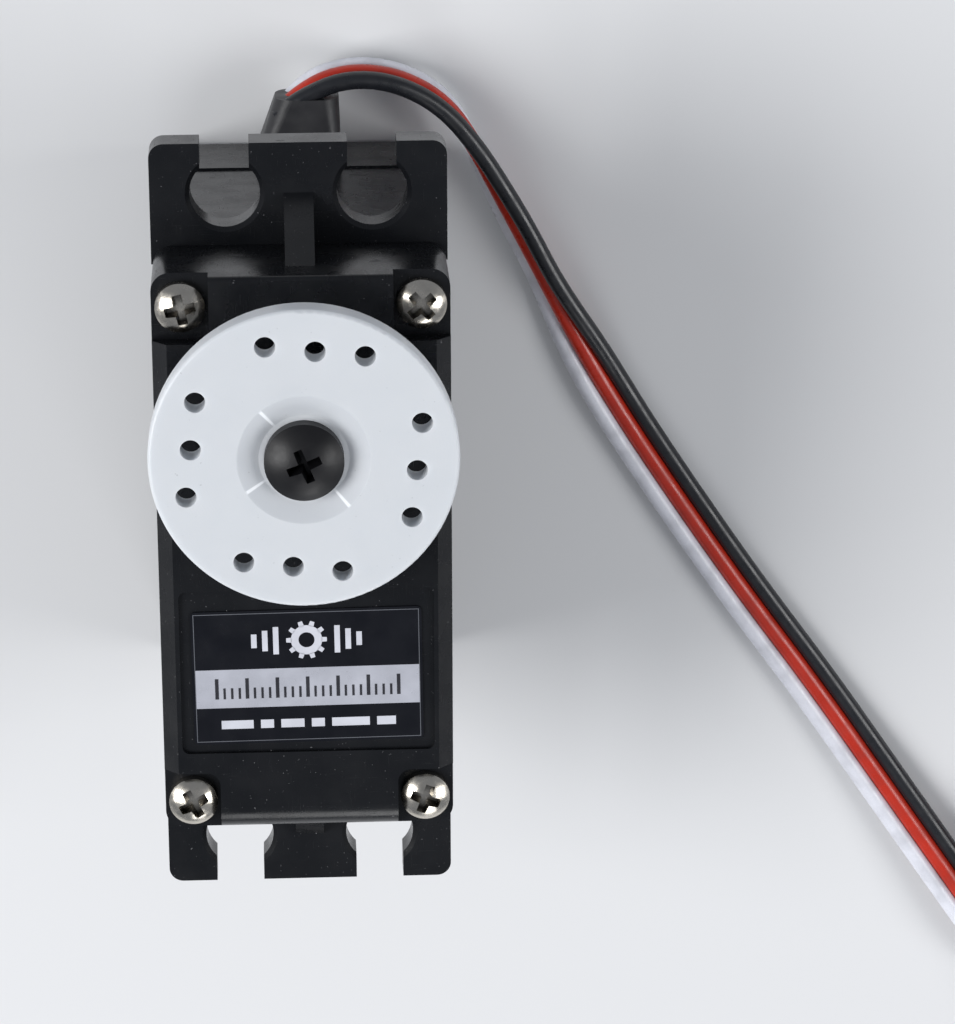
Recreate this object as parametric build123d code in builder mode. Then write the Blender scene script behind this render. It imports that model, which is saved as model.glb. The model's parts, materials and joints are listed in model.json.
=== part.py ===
"""Standard size hobby servo motor: three-piece case, plastic gears, motor, potentiometer, board and lead.

Frame: origin at the centre of the case's underside, +Z up along the output shaft, +Y towards the end where
the output shaft and the lead are, +X across the case. All sizes are in millimetres.
"""

import os
from math import acos, cos, pi, radians, sin, sqrt, tan

from build123d import *

os.makedirs("parts", exist_ok=True)

# ---------------------------------------------------------------- driving dimensions

# Case
CASE_WIDTH = 20.0
CASE_LENGTH = 40.2
CASE_HEIGHT = 35.6
WALL = 1.2
CORNER_RADIUS = 1.3
BOTTOM_COVER_HEIGHT = 7.6
TOP_COVER_HEIGHT = 2.4
BOTTOM_COVER_LIP = 0.15
DECK_TOP = 24.4
DECK_THICKNESS = 1.6

# Mounting ears
EAR_TOP = 27.6
EAR_THICKNESS = 2.5
EAR_TIP = 27.2
EAR_HALF_WIDTH = 10.1
EAR_HOLE_X = 5.0
EAR_HOLE_Y = 23.7
EAR_HOLE_RADIUS = 2.4
EAR_SLOT_WIDTH = 3.35
GUSSET_WIDTH = 2.0
GUSSET_REACH = 3.6
GUSSET_HEIGHT = 5.5

# Case screws
SCREW_X = 8.05
SCREW_Y = 17.85
SCREW_HEAD_RADIUS = 1.69
SCREW_HEAD_HEIGHT = 1.4
SCREW_CROSS = (2.15, 0.72)
SCREW_SHANK_RADIUS = 0.85
SCREW_TIP = 2.4
BOSS_RADIUS = 2.1

# Shafts, all on the line x = 0
OUTPUT_Y = 9.2
IDLER_Y = OUTPUT_Y - 10.0
MOTOR_Y = IDLER_Y - 9.6
IDLER_PIN_RADIUS = 0.9
POT_SHAFT_RADIUS = 1.1
MOTOR_SHAFT_RADIUS = 0.75
RUNNING_CLEARANCE = 0.05

# Gear teeth
FINE_MODULE = 0.3
MIDDLE_MODULE = 0.4
COARSE_MODULE = 0.5
PINION_TEETH = 10
FIRST_WHEEL_TEETH = 54
WHEEL_TEETH = 40
OUTPUT_TEETH = 30
PROFILE_SHIFT = 0.42
PRESSURE_ANGLE = radians(20)
FLANK_RELIEF = 0.02

# Gear levels above the deck: bottom of each wheel and its thickness
MOTOR_LEVEL = 25.0
SECOND_LEVEL = 26.8
THIRD_LEVEL = 28.7
OUTPUT_LEVEL = 30.5
WHEEL_THICKNESS = 1.4
OUTPUT_THICKNESS = 2.6
AXIAL_GAP = 0.3

# Output shaft, bushing and horn
JOURNAL_RADIUS = 3.0
BUSHING_RADIUS = 4.2
OUTPUT_BOSS_RADIUS = 6.0
OUTPUT_BOSS_TOP = 37.2
SPLINE_TEETH = 25
SPLINE_RADIUS = 2.95
SPLINE_TOP = 39.9
HORN_RADIUS = 10.3
HORN_TOP = 41.4
HORN_THICKNESS = 1.8
HORN_HUB_RADIUS = 4.45
HORN_HUB_BOTTOM = 37.8
HORN_RECESS_RADIUS = 3.0
HORN_RECESS_FLOOR = 41.0
HORN_HOLE_RADIUS = 0.7
HORN_HOLE_DISTANCE = 7.5
HORN_HOLE_SPACING = 3.3
HORN_REST_ANGLE = -6.4
HORN_SCREW_HEAD_RADIUS = 2.65
HORN_SCREW_HEAD_HEIGHT = 1.9
HORN_SCREW_CROSS = (2.4, 0.62)
HORN_SCREW_SHANK_RADIUS = 1.1
HORN_SCREW_SHANK_LENGTH = 5.5

# Label
LABEL_SIZE = (15.8, 9.75)
LABEL_CENTRE = (0.0, -8.45)
LABEL_THICKNESS = 0.12
LABEL_TURN = 0.6
PANEL_DEPTH = 0.3

# Motor
MOTOR_RADIUS = 8.0
MOTOR_FLAT = 7.6
MOTOR_BOTTOM = 5.8
MOTOR_CAN_WALL = 0.7
MOTOR_SCREW_X = 4.5
MOTOR_SCREW_Y = MOTOR_Y - 4.2

# Potentiometer
POT_RADIUS = 6.2
POT_BOTTOM = 16.8
POT_WALL = 0.6

# Circuit board
BOARD_BOTTOM = 2.2
BOARD_THICKNESS = 1.0
BOARD_SIZE = (16.8, 30.4)

# Lead
LEAD_RADIUS = 1.2
RIBBON_WIDTH = 3.9
COIL_CENTRE = (78.0, -39.8)
COIL_RADIUS = 22.5
COIL_PITCH = 2.0
COIL_TURNS = 1.27
COIL_LIFT = 0.5
COIL_ENTRY_ANGLE = 214.8
COIL_INLET = 11.0
TAIL_RADIUS = 9.0
TAIL_TURN = 120.0
CONNECTOR_SIZE = (7.6, 14.0, 2.6)
CONTACT_PITCH = 2.54

# ---------------------------------------------------------------- worked out from them

HALF_LENGTH = CASE_LENGTH / 2
UPPER_SEAM = CASE_HEIGHT - TOP_COVER_HEIGHT
INNER_WIDTH = CASE_WIDTH - 2 * WALL
INNER_LENGTH = CASE_LENGTH - 2 * WALL
DECK_BOTTOM = DECK_TOP - DECK_THICKNESS
ROOF = CASE_HEIGHT - WALL
POCKET_FLOOR = ROOF - 0.15
HORN_BOTTOM = HORN_TOP - HORN_THICKNESS
BOARD_TOP = BOARD_BOTTOM + BOARD_THICKNESS
SCREW_PLACES = [(x, y) for x in (-SCREW_X, SCREW_X) for y in (-SCREW_Y, SCREW_Y)]
EAR_HOLES = [(x, y) for x in (-EAR_HOLE_X, EAR_HOLE_X) for y in (-EAR_HOLE_Y, EAR_HOLE_Y)]


def save(piece, name):
    """Label a finished piece and write it as its own STEP file."""
    piece.part.label = name
    export_step(piece.part, f"parts/{name}.step")


def disc(radius, centre_y, height, inner=0.0):
    """A circle or ring on the shaft line, at the given height."""
    with BuildSketch(Plane((0, centre_y, height))) as outline:
        Circle(radius)
        if inner:
            Circle(inner, mode=Mode.SUBTRACT)
    return outline.sketch


def rounded_outline(width, length, radius, height):
    """The case's rounded rectangle at the given height."""
    with BuildSketch(Plane.XY.offset(height)) as outline:
        RectangleRounded(width, length, radius)
    return outline.sketch


def cavity_outline(height):
    """The inside of the case around its four screw bosses."""
    with BuildSketch(Plane.XY.offset(height)) as outline:
        RectangleRounded(INNER_WIDTH, INNER_LENGTH, CORNER_RADIUS / 2)
        with Locations(*SCREW_PLACES):
            Circle(BOSS_RADIUS, mode=Mode.SUBTRACT)
    return outline.sketch


def on_circle(radius, angle):
    """A point on a circle about the sketch's origin, with the angle in radians."""
    return (radius * cos(angle), radius * sin(angle))


def gear_outline(axis_y, height, module, teeth, shift, first_tooth):
    """A spur gear with involute flanks; first_tooth is the direction of one tooth, in degrees."""
    base = module * teeth / 2 * cos(PRESSURE_ANGLE)
    root = module * (teeth / 2 - 1.25 + shift)
    tip = module * (teeth / 2 + 1 + shift)
    start = max(root, base)
    pitch = 2 * pi / teeth

    def involute(radius):
        pressure = acos(min(1.0, base / radius))
        return tan(pressure) - pressure

    def half_angle(radius):
        at_pitch = (pi / 2 + 2 * shift * tan(PRESSURE_ANGLE)) / teeth
        at_radius = involute(module * teeth / 2) - involute(radius)
        return at_pitch + at_radius - FLANK_RELIEF / radius

    flank = [(radius, half_angle(radius)) for radius in (start, (start + tip) / 2, tip)]
    foot_angle = half_angle(start)
    with BuildSketch(Plane((0, axis_y, height))) as outline:
        with BuildLine():
            for tooth in range(teeth):
                centre = radians(first_tooth) + tooth * pitch
                rising = [on_circle(radius, centre - half) for radius, half in flank]
                falling = [on_circle(radius, centre + half) for radius, half in reversed(flank)]
                left_foot = on_circle(root, centre - foot_angle)
                right_foot = on_circle(root, centre + foot_angle)
                if root < start:
                    Line(left_foot, rising[0])
                    Line(falling[-1], right_foot)
                ThreePointArc(*rising)
                ThreePointArc(rising[-1], on_circle(tip, centre), falling[0])
                ThreePointArc(*falling)
                valley = on_circle(root, centre + pitch / 2)
                ThreePointArc(right_foot, valley, on_circle(root, centre + pitch - foot_angle))
        make_face()
    return outline.sketch


# ---------------------------------------------------------------- case

# Bottom cover: a tray with four screw bosses, board posts and a notch for the strain relief.
NOTCH_WIDTH = 6.0
NOTCH_BOTTOM = 2.8
with BuildPart() as bottom_cover:
    lip = 2 * BOTTOM_COVER_LIP
    extrude(
        rounded_outline(CASE_WIDTH + lip, CASE_LENGTH + lip, CORNER_RADIUS, 0),
        amount=BOTTOM_COVER_HEIGHT,
    )
    chamfer(bottom_cover.edges().group_by(Axis.Z)[0], length=0.6)
    extrude(cavity_outline(WALL), amount=BOTTOM_COVER_HEIGHT, mode=Mode.SUBTRACT)
    with BuildSketch(Plane.XY.offset(WALL)):
        with Locations(*[(x, y) for x in (-7.2, 7.2) for y in (-13.2, 13.2)]):
            Circle(1.0)
    extrude(amount=BOARD_BOTTOM - WALL)
    with Locations((0, HALF_LENGTH, NOTCH_BOTTOM)):
        Box(
            NOTCH_WIDTH,
            4 * WALL,
            BOTTOM_COVER_HEIGHT,
            align=(Align.CENTER, Align.CENTER, Align.MIN),
            mode=Mode.SUBTRACT,
        )
    with BuildSketch(Plane.XY.offset(SCREW_TIP)):
        with Locations(*SCREW_PLACES):
            Circle(SCREW_SHANK_RADIUS)
    extrude(amount=BOTTOM_COVER_HEIGHT, mode=Mode.SUBTRACT)
save(bottom_cover, "bottom_cover")

# Middle case: walls, gear deck, shaft bosses and the two mounting ears with their gussets.
MOTOR_NOSE_RADIUS = 2.5
DECK_TUBE_RADIUS = 1.55
DECK_TUBE_TOP = SECOND_LEVEL - 0.2
PIN_SEAT_RADIUS = 1.6
PIN_SEAT_TOP = MOTOR_LEVEL - 0.1
PIN_BOTTOM = 23.2
with BuildPart() as middle_case:
    extrude(
        rounded_outline(CASE_WIDTH, CASE_LENGTH, CORNER_RADIUS, BOTTOM_COVER_HEIGHT),
        amount=UPPER_SEAM - BOTTOM_COVER_HEIGHT,
    )
    with BuildSketch(Plane.XY.offset(EAR_TOP - EAR_THICKNESS)):
        RectangleRounded(2 * EAR_HALF_WIDTH, 2 * EAR_TIP, 1.0)
        Rectangle(2 * CASE_WIDTH, CASE_LENGTH - 2 * CORNER_RADIUS, mode=Mode.SUBTRACT)
        with Locations(*EAR_HOLES):
            Circle(EAR_HOLE_RADIUS, mode=Mode.SUBTRACT)
        for hole_x, hole_y in EAR_HOLES:
            slot_centre = hole_y + (EAR_TIP if hole_y > 0 else -EAR_TIP) / 2
            with Locations((hole_x, slot_centre)):
                Rectangle(EAR_SLOT_WIDTH, EAR_TIP, mode=Mode.SUBTRACT)
    extrude(amount=EAR_THICKNESS)
    for side in (1, -1):
        with BuildSketch(Plane.YZ.offset(-GUSSET_WIDTH / 2)):
            with BuildLine():
                wall_y = side * HALF_LENGTH
                inner_y = side * (HALF_LENGTH - WALL / 2)
                Polyline(
                    (inner_y, EAR_TOP),
                    (wall_y + side * GUSSET_REACH, EAR_TOP),
                    (wall_y, EAR_TOP + GUSSET_HEIGHT),
                    (inner_y, EAR_TOP + GUSSET_HEIGHT),
                    close=True,
                )
            make_face()
        extrude(amount=GUSSET_WIDTH)
    motor_bay_height = DECK_BOTTOM - BOTTOM_COVER_HEIGHT
    extrude(cavity_outline(BOTTOM_COVER_HEIGHT), amount=motor_bay_height, mode=Mode.SUBTRACT)
    extrude(cavity_outline(DECK_TOP), amount=UPPER_SEAM - DECK_TOP, mode=Mode.SUBTRACT)
    extrude(disc(PIN_SEAT_RADIUS, IDLER_Y, DECK_TOP), amount=PIN_SEAT_TOP - DECK_TOP)
    extrude(disc(DECK_TUBE_RADIUS, OUTPUT_Y, DECK_TOP), amount=DECK_TUBE_TOP - DECK_TOP)
    extrude(disc(IDLER_PIN_RADIUS, IDLER_Y, PIN_BOTTOM), amount=2 * WALL, mode=Mode.SUBTRACT)
    shaft_bore = POT_SHAFT_RADIUS + RUNNING_CLEARANCE
    extrude(disc(shaft_bore, OUTPUT_Y, DECK_BOTTOM), amount=4 * WALL, mode=Mode.SUBTRACT)
    extrude(disc(MOTOR_NOSE_RADIUS, MOTOR_Y, DECK_BOTTOM), amount=DECK_THICKNESS, mode=Mode.SUBTRACT)
    with BuildSketch(Plane.XY.offset(DECK_BOTTOM)):
        with Locations((-MOTOR_SCREW_X, MOTOR_SCREW_Y), (MOTOR_SCREW_X, MOTOR_SCREW_Y)):
            Circle(0.8)
    extrude(amount=DECK_THICKNESS, mode=Mode.SUBTRACT)
    with BuildSketch(Plane.XY.offset(BOTTOM_COVER_HEIGHT)):
        with Locations(*SCREW_PLACES):
            Circle(SCREW_SHANK_RADIUS + 0.1)
    extrude(amount=CASE_HEIGHT, mode=Mode.SUBTRACT)
    slot_rims = (
        middle_case.edges()
        .filter_by_position(Axis.Z, EAR_TOP, EAR_TOP)
        .filter_by(GeomType.CIRCLE)
        .filter_by(lambda edge: abs(edge.radius - EAR_HOLE_RADIUS) < 0.01)
    )
    chamfer(slot_rims, length=0.3)
save(middle_case, "middle_case")

# Top cover: a shallow lid with screw pockets at its corners, sloped long edges, a label panel and
# a round boss for the output bushing.
POCKET_X = 6.15
POCKET_Y = 15.5
POCKET_WALL = 0.5
EDGE_SLOPE = 1.0
MOTOR_END_ROUND = 2.0
PANEL_WIDTH = 17.4
PANEL_START = -2.1
PANEL_END = -14.0
PIN_SOCKET_RADIUS = 1.8
PIN_SOCKET_BOTTOM = 33.5
PIN_TOP = 34.8
with BuildPart() as top_cover:
    extrude(
        rounded_outline(CASE_WIDTH, CASE_LENGTH, CORNER_RADIUS, UPPER_SEAM),
        amount=TOP_COVER_HEIGHT,
    )
    with BuildSketch(Plane.XZ):
        for side in (1, -1):
            with BuildLine():
                edge_x = side * CASE_WIDTH / 2
                Polyline(
                    (edge_x - side * EDGE_SLOPE, CASE_HEIGHT),
                    (edge_x, CASE_HEIGHT - EDGE_SLOPE),
                    (edge_x + side, CASE_HEIGHT - EDGE_SLOPE),
                    (edge_x + side, CASE_HEIGHT + EDGE_SLOPE),
                    (edge_x - side * EDGE_SLOPE, CASE_HEIGHT + EDGE_SLOPE),
                    close=True,
                )
            make_face()
    extrude(amount=HALF_LENGTH, both=True, mode=Mode.SUBTRACT)
    deck_ends = top_cover.edges().filter_by(Axis.X).filter_by_position(Axis.Z, CASE_HEIGHT, CASE_HEIGHT)
    fillet(deck_ends.sort_by(Axis.Y)[-1], radius=0.3)
    with BuildSketch(Plane.YZ):
        with Locations((-HALF_LENGTH, CASE_HEIGHT)):
            Rectangle(2 * MOTOR_END_ROUND, 2 * MOTOR_END_ROUND)
        with Locations((MOTOR_END_ROUND - HALF_LENGTH, CASE_HEIGHT - MOTOR_END_ROUND)):
            Circle(MOTOR_END_ROUND, mode=Mode.SUBTRACT)
    extrude(amount=CASE_WIDTH, both=True, mode=Mode.SUBTRACT)
    pocket_size = (CASE_WIDTH / 2 - POCKET_X + 1, HALF_LENGTH - POCKET_Y + 1)
    with BuildSketch(Plane.XY.offset(POCKET_FLOOR)):
        for x in (-1, 1):
            for y in (-1, 1):
                with Locations((x * (POCKET_X + pocket_size[0] / 2), y * (POCKET_Y + pocket_size[1] / 2))):
                    RectangleRounded(*pocket_size, 0.9)
    extrude(amount=TOP_COVER_HEIGHT, mode=Mode.SUBTRACT)
    with BuildSketch(Plane.XY.offset(CASE_HEIGHT - PANEL_DEPTH)):
        with Locations((0, (PANEL_START + PANEL_END) / 2)):
            RectangleRounded(PANEL_WIDTH, PANEL_START - PANEL_END, 0.5)
    extrude(amount=PANEL_DEPTH, mode=Mode.SUBTRACT)
    with BuildSketch(Plane.XY.offset(UPPER_SEAM)):
        RectangleRounded(INNER_WIDTH, INNER_LENGTH, CORNER_RADIUS / 2)
        block_x = POCKET_X - POCKET_WALL
        block_y = POCKET_Y - POCKET_WALL
        for x in (-1, 1):
            for y in (-1, 1):
                with Locations((x * (block_x + 5), y * (block_y + 5))):
                    Rectangle(10, 10, mode=Mode.SUBTRACT)
    extrude(amount=ROOF - UPPER_SEAM, mode=Mode.SUBTRACT)
    extrude(disc(PIN_SOCKET_RADIUS, IDLER_Y, PIN_SOCKET_BOTTOM), amount=ROOF - PIN_SOCKET_BOTTOM)
    pin_depth = PIN_TOP - PIN_SOCKET_BOTTOM
    extrude(disc(IDLER_PIN_RADIUS, IDLER_Y, PIN_SOCKET_BOTTOM), amount=pin_depth, mode=Mode.SUBTRACT)
    extrude(disc(OUTPUT_BOSS_RADIUS, OUTPUT_Y, ROOF), amount=OUTPUT_BOSS_TOP - ROOF)
    extrude(disc(BUSHING_RADIUS, OUTPUT_Y, ROOF), amount=OUTPUT_BOSS_TOP - ROOF, mode=Mode.SUBTRACT)
    with BuildSketch(Plane.XY.offset(UPPER_SEAM)):
        with Locations(*SCREW_PLACES):
            Circle(SCREW_SHANK_RADIUS + 0.1)
    extrude(amount=TOP_COVER_HEIGHT, mode=Mode.SUBTRACT)
save(top_cover, "top_cover")

# Label: a thin plate stuck a little askew on the recessed panel.
with BuildPart() as label:
    with BuildSketch(Plane.XY.offset(CASE_HEIGHT - PANEL_DEPTH)):
        with Locations(Location((*LABEL_CENTRE, 0), (0, 0, LABEL_TURN))):
            RectangleRounded(*LABEL_SIZE, 0.35)
    extrude(amount=LABEL_THICKNESS)
save(label, "label")


def pan_screw(head_radius, head_height, shank_radius, shank_length, cross_size, cross_turn):
    """A cross-recessed pan head screw, standing on the origin with its shank below."""
    rim = head_height * 0.5
    dome = head_height - rim
    crown_radius = (head_radius**2 + dome**2) / (2 * dome)
    crown_x = head_radius * 0.6
    crown = (crown_x, head_height - crown_radius + sqrt(crown_radius**2 - crown_x**2))
    with BuildPart() as screw:
        with BuildSketch(Plane.XZ):
            with BuildLine():
                Line((0, -shank_length), (shank_radius * 0.6, -shank_length))
                Line((shank_radius * 0.6, -shank_length), (shank_radius, -shank_length + shank_radius))
                Line((shank_radius, -shank_length + shank_radius), (shank_radius, 0))
                Line((shank_radius, 0), (head_radius, 0))
                Line((head_radius, 0), (head_radius, rim))
                ThreePointArc((head_radius, rim), crown, (0, head_height))
                Line((0, head_height), (0, -shank_length))
            make_face()
        revolve(axis=Axis.Z)
        with BuildSketch(Plane.XY.offset(head_height)):
            with Locations(Location((0, 0, 0), (0, 0, cross_turn))):
                Rectangle(*cross_size)
                Rectangle(cross_size[1], cross_size[0])
        extrude(amount=-head_height * 0.7, taper=8, mode=Mode.SUBTRACT)
    return screw.part


# Case screws: four long ones from the pockets down into the bottom cover.
with BuildPart() as case_screws:
    for place, turn in zip(SCREW_PLACES, (28, 12, 70, 40)):
        with Locations((*place, POCKET_FLOOR)):
            add(
                pan_screw(
                    SCREW_HEAD_RADIUS,
                    SCREW_HEAD_HEIGHT,
                    SCREW_SHANK_RADIUS,
                    POCKET_FLOOR - SCREW_TIP,
                    SCREW_CROSS,
                    turn,
                )
            )
save(case_screws, "case_screws")

# ---------------------------------------------------------------- output shaft, horn

with BuildPart() as output_bushing:
    extrude(
        disc(BUSHING_RADIUS, OUTPUT_Y, ROOF, inner=JOURNAL_RADIUS + RUNNING_CLEARANCE),
        amount=OUTPUT_BOSS_TOP - ROOF,
    )
save(output_bushing, "output_bushing")

# Output gear: last wheel, thrust collar, journal and splined end in one moulding.
COLLAR_RADIUS = 4.0
POT_SOCKET_TOP = 31.9
with BuildPart() as output_gear:
    gap_direction = -90 + 180 / OUTPUT_TEETH
    extrude(
        gear_outline(OUTPUT_Y, OUTPUT_LEVEL, COARSE_MODULE, OUTPUT_TEETH, -PROFILE_SHIFT, gap_direction),
        amount=OUTPUT_THICKNESS,
    )
    wheel_top = OUTPUT_LEVEL + OUTPUT_THICKNESS
    extrude(disc(COLLAR_RADIUS, OUTPUT_Y, wheel_top), amount=ROOF - 0.2 - wheel_top)
    extrude(disc(JOURNAL_RADIUS, OUTPUT_Y, wheel_top), amount=OUTPUT_BOSS_TOP + 0.2 - wheel_top)
    extrude(disc(SPLINE_RADIUS, OUTPUT_Y, OUTPUT_BOSS_TOP), amount=SPLINE_TOP - OUTPUT_BOSS_TOP)
    with BuildSketch(Plane((0, OUTPUT_Y, OUTPUT_BOSS_TOP + 0.4))):
        with PolarLocations(SPLINE_RADIUS, SPLINE_TEETH):
            RegularPolygon(0.2, 4)
    extrude(amount=SPLINE_TOP, mode=Mode.SUBTRACT)
    socket_depth = POT_SOCKET_TOP - OUTPUT_LEVEL
    extrude(disc(POT_SHAFT_RADIUS, OUTPUT_Y, OUTPUT_LEVEL), amount=socket_depth, mode=Mode.SUBTRACT)
    extrude(disc(HORN_SCREW_SHANK_RADIUS, OUTPUT_Y, 34.0), amount=SPLINE_TOP, mode=Mode.SUBTRACT)
save(output_gear, "output_gear")

# Horn: a flat disc on a hub, with rows of holes on its four sides.
with BuildPart() as horn:
    extrude(disc(HORN_RADIUS, OUTPUT_Y, HORN_BOTTOM), amount=HORN_THICKNESS)
    fillet(horn.edges().group_by(Axis.Z)[-1], radius=0.25)
    extrude(disc(HORN_HUB_RADIUS, OUTPUT_Y, HORN_HUB_BOTTOM), amount=HORN_BOTTOM - HORN_HUB_BOTTOM)
    with Locations((0, OUTPUT_Y, HORN_RECESS_FLOOR)):
        Cone(
            HORN_RECESS_RADIUS,
            HORN_HUB_RADIUS,
            HORN_TOP - HORN_RECESS_FLOOR,
            align=(Align.CENTER, Align.CENTER, Align.MIN),
            mode=Mode.SUBTRACT,
        )
    spline_depth = SPLINE_TOP - HORN_HUB_BOTTOM
    extrude(disc(SPLINE_RADIUS, OUTPUT_Y, HORN_HUB_BOTTOM), amount=spline_depth, mode=Mode.SUBTRACT)
    extrude(disc(1.15, OUTPUT_Y, HORN_HUB_BOTTOM), amount=HORN_THICKNESS * 2, mode=Mode.SUBTRACT)
    with BuildSketch(Plane((0, OUTPUT_Y, HORN_BOTTOM))):
        for row in range(4):
            with Locations(Location((0, 0, 0), (0, 0, HORN_REST_ANGLE + 90 * row))):
                with GridLocations(HORN_HOLE_SPACING, 0, 3, 1):
                    with Locations((0, HORN_HOLE_DISTANCE)):
                        Circle(HORN_HOLE_RADIUS)
    extrude(amount=HORN_THICKNESS, mode=Mode.SUBTRACT)
save(horn, "horn")

with BuildPart() as horn_screw:
    with Locations((0, OUTPUT_Y, HORN_RECESS_FLOOR)):
        add(
            pan_screw(
                HORN_SCREW_HEAD_RADIUS,
                HORN_SCREW_HEAD_HEIGHT,
                HORN_SCREW_SHANK_RADIUS,
                HORN_SCREW_SHANK_LENGTH,
                HORN_SCREW_CROSS,
                22,
            )
        )
save(horn_screw, "horn_screw")

# ---------------------------------------------------------------- gear train

with BuildPart() as idler_pin:
    extrude(disc(IDLER_PIN_RADIUS, IDLER_Y, PIN_BOTTOM), amount=PIN_TOP - PIN_BOTTOM)
    chamfer(idler_pin.edges(), length=0.15)
save(idler_pin, "idler_pin")


def compound_gear(axis_y, bottom, wheel, pinion, bore, wheel_gap, pinion_tooth, pinion_top):
    """A wheel with a smaller pinion on top; wheel and pinion are each (module, teeth)."""
    wheel_tooth = wheel_gap + 180 / wheel[1]
    wheel_top = bottom + WHEEL_THICKNESS
    with BuildPart() as gear:
        extrude(gear_outline(axis_y, bottom, *wheel, -PROFILE_SHIFT, wheel_tooth), amount=WHEEL_THICKNESS)
        extrude(
            gear_outline(axis_y, wheel_top, *pinion, PROFILE_SHIFT, pinion_tooth),
            amount=pinion_top - wheel_top,
        )
        extrude(disc(bore, axis_y, bottom), amount=pinion_top - bottom, mode=Mode.SUBTRACT)
    return gear


first_gear = compound_gear(
    IDLER_Y,
    MOTOR_LEVEL,
    wheel=(FINE_MODULE, FIRST_WHEEL_TEETH),
    pinion=(MIDDLE_MODULE, PINION_TEETH),
    bore=IDLER_PIN_RADIUS + RUNNING_CLEARANCE,
    wheel_gap=-90,
    pinion_tooth=90,
    pinion_top=THIRD_LEVEL - AXIAL_GAP,
)
save(first_gear, "first_gear")

second_gear = compound_gear(
    OUTPUT_Y,
    SECOND_LEVEL,
    wheel=(MIDDLE_MODULE, WHEEL_TEETH),
    pinion=(MIDDLE_MODULE, PINION_TEETH),
    bore=POT_SHAFT_RADIUS + RUNNING_CLEARANCE,
    wheel_gap=-90,
    pinion_tooth=-90,
    pinion_top=OUTPUT_LEVEL - AXIAL_GAP,
)
save(second_gear, "second_gear")

third_gear = compound_gear(
    IDLER_Y,
    THIRD_LEVEL,
    wheel=(MIDDLE_MODULE, WHEEL_TEETH),
    pinion=(COARSE_MODULE, PINION_TEETH),
    bore=IDLER_PIN_RADIUS + RUNNING_CLEARANCE,
    wheel_gap=90,
    pinion_tooth=90,
    pinion_top=PIN_SOCKET_BOTTOM - AXIAL_GAP,
)
save(third_gear, "third_gear")

# ---------------------------------------------------------------- motor

# Can: a drawn steel cup with two flats and a round nose that locates in the deck.
NOSE_HEIGHT = 1.2
MOTOR_BUSH_RADIUS = 1.6
with BuildPart() as motor_can:
    with BuildSketch(Plane((0, MOTOR_Y, MOTOR_BOTTOM))):
        Circle(MOTOR_RADIUS)
        Rectangle(2 * MOTOR_FLAT, 2 * MOTOR_RADIUS, mode=Mode.INTERSECT)
    extrude(amount=DECK_BOTTOM - MOTOR_BOTTOM)
    with BuildSketch(Plane((0, MOTOR_Y, MOTOR_BOTTOM))):
        Circle(MOTOR_RADIUS - MOTOR_CAN_WALL)
        Rectangle(2 * (MOTOR_FLAT - MOTOR_CAN_WALL), 2 * MOTOR_RADIUS, mode=Mode.INTERSECT)
    extrude(amount=DECK_BOTTOM - MOTOR_CAN_WALL - MOTOR_BOTTOM, mode=Mode.SUBTRACT)
    extrude(disc(MOTOR_NOSE_RADIUS, MOTOR_Y, DECK_BOTTOM), amount=NOSE_HEIGHT)
    nose_base = DECK_BOTTOM - MOTOR_CAN_WALL
    extrude(disc(MOTOR_BUSH_RADIUS, MOTOR_Y, nose_base), amount=2 * NOSE_HEIGHT, mode=Mode.SUBTRACT)
    with BuildSketch(Plane.XY.offset(nose_base)):
        with Locations((-MOTOR_SCREW_X, MOTOR_SCREW_Y), (MOTOR_SCREW_X, MOTOR_SCREW_Y)):
            Circle(0.7)
    extrude(amount=MOTOR_CAN_WALL, mode=Mode.SUBTRACT)
save(motor_can, "motor_can")

# End cap: the plastic plug that closes the can and holds the rear bush and the brushes.
END_CAP_BOTTOM = 4.0
with BuildPart() as motor_end_cap:
    with BuildSketch(Plane((0, MOTOR_Y, END_CAP_BOTTOM))):
        Circle(MOTOR_RADIUS)
        Rectangle(2 * MOTOR_FLAT, 2 * MOTOR_RADIUS, mode=Mode.INTERSECT)
    extrude(amount=MOTOR_BOTTOM - END_CAP_BOTTOM)
    extrude(disc(MOTOR_BUSH_RADIUS, MOTOR_Y, END_CAP_BOTTOM), amount=5, mode=Mode.SUBTRACT)
    with BuildSketch(Plane((0, MOTOR_Y, END_CAP_BOTTOM))):
        with Locations((-5.0, 0), (5.0, 0)):
            Rectangle(0.5, 2.0)
    extrude(amount=5, mode=Mode.SUBTRACT)
save(motor_end_cap, "motor_end_cap")

with BuildPart() as motor_bushes:
    bush_bore = MOTOR_SHAFT_RADIUS + RUNNING_CLEARANCE
    for bush_bottom, bush_height in ((END_CAP_BOTTOM, 1.8), (nose_base, MOTOR_CAN_WALL + NOSE_HEIGHT)):
        extrude(disc(MOTOR_BUSH_RADIUS, MOTOR_Y, bush_bottom, inner=bush_bore), amount=bush_height)
save(motor_bushes, "motor_bushes")

with BuildPart() as motor_magnets:
    for direction in (90, -90):
        with BuildSketch(Plane((0, MOTOR_Y, 9.0))):
            with BuildLine():
                outer = CenterArc((0, 0), MOTOR_RADIUS - MOTOR_CAN_WALL, direction - 55, 110)
                inner = CenterArc((0, 0), 6.0, direction - 55, 110)
                Line(outer @ 0, inner @ 0)
                Line(outer @ 1, inner @ 1)
            make_face()
        extrude(amount=12.0)
save(motor_magnets, "motor_magnets")

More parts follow.
